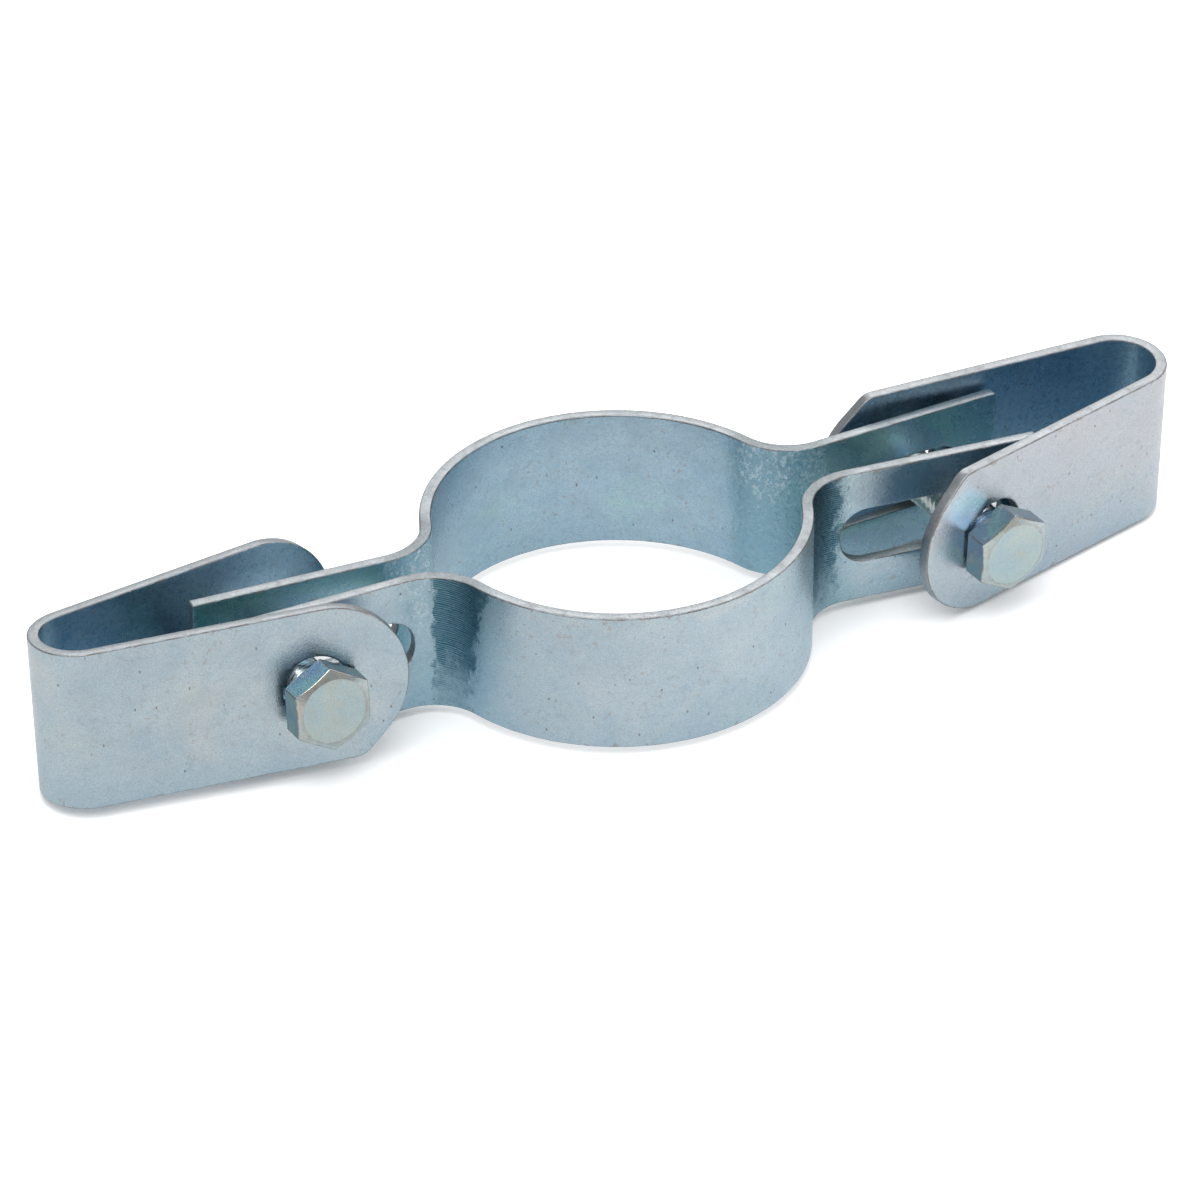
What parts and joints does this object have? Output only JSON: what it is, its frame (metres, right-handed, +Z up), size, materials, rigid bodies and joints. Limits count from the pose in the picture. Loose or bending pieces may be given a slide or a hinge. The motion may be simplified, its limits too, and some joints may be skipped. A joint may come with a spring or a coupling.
{
  "type": "mesh fence panel clip",
  "caption": "Two-sided post clamp for mesh fence panels: a split ring with slotted ears, and a hairpin clip bolted over the ears on each side.",
  "frame": {"origin": "on the axis of the round post, at half the height of the half clamps", "axes": "X along the ears from the left clip to the right one, +Y to the back where the nuts are, +Z up the post"},
  "size_m": [0.2586, 0.0812, 0.0382],
  "materials": {
    "plated_strip": "bright zinc plating over pressed steel strip",
    "plated_fastener": "bright zinc plating over a forged bolt and nut"
  },
  "bodies": {
    "root": {"front_half_clamp": "plated_strip", "back_half_clamp": "plated_strip", "left_clip": "plated_strip", "right_clip": "plated_strip", "left_bolt": "plated_fastener", "right_bolt": "plated_fastener", "left_nut": "plated_fastener", "right_nut": "plated_fastener"}
  },
  "joints": []
}
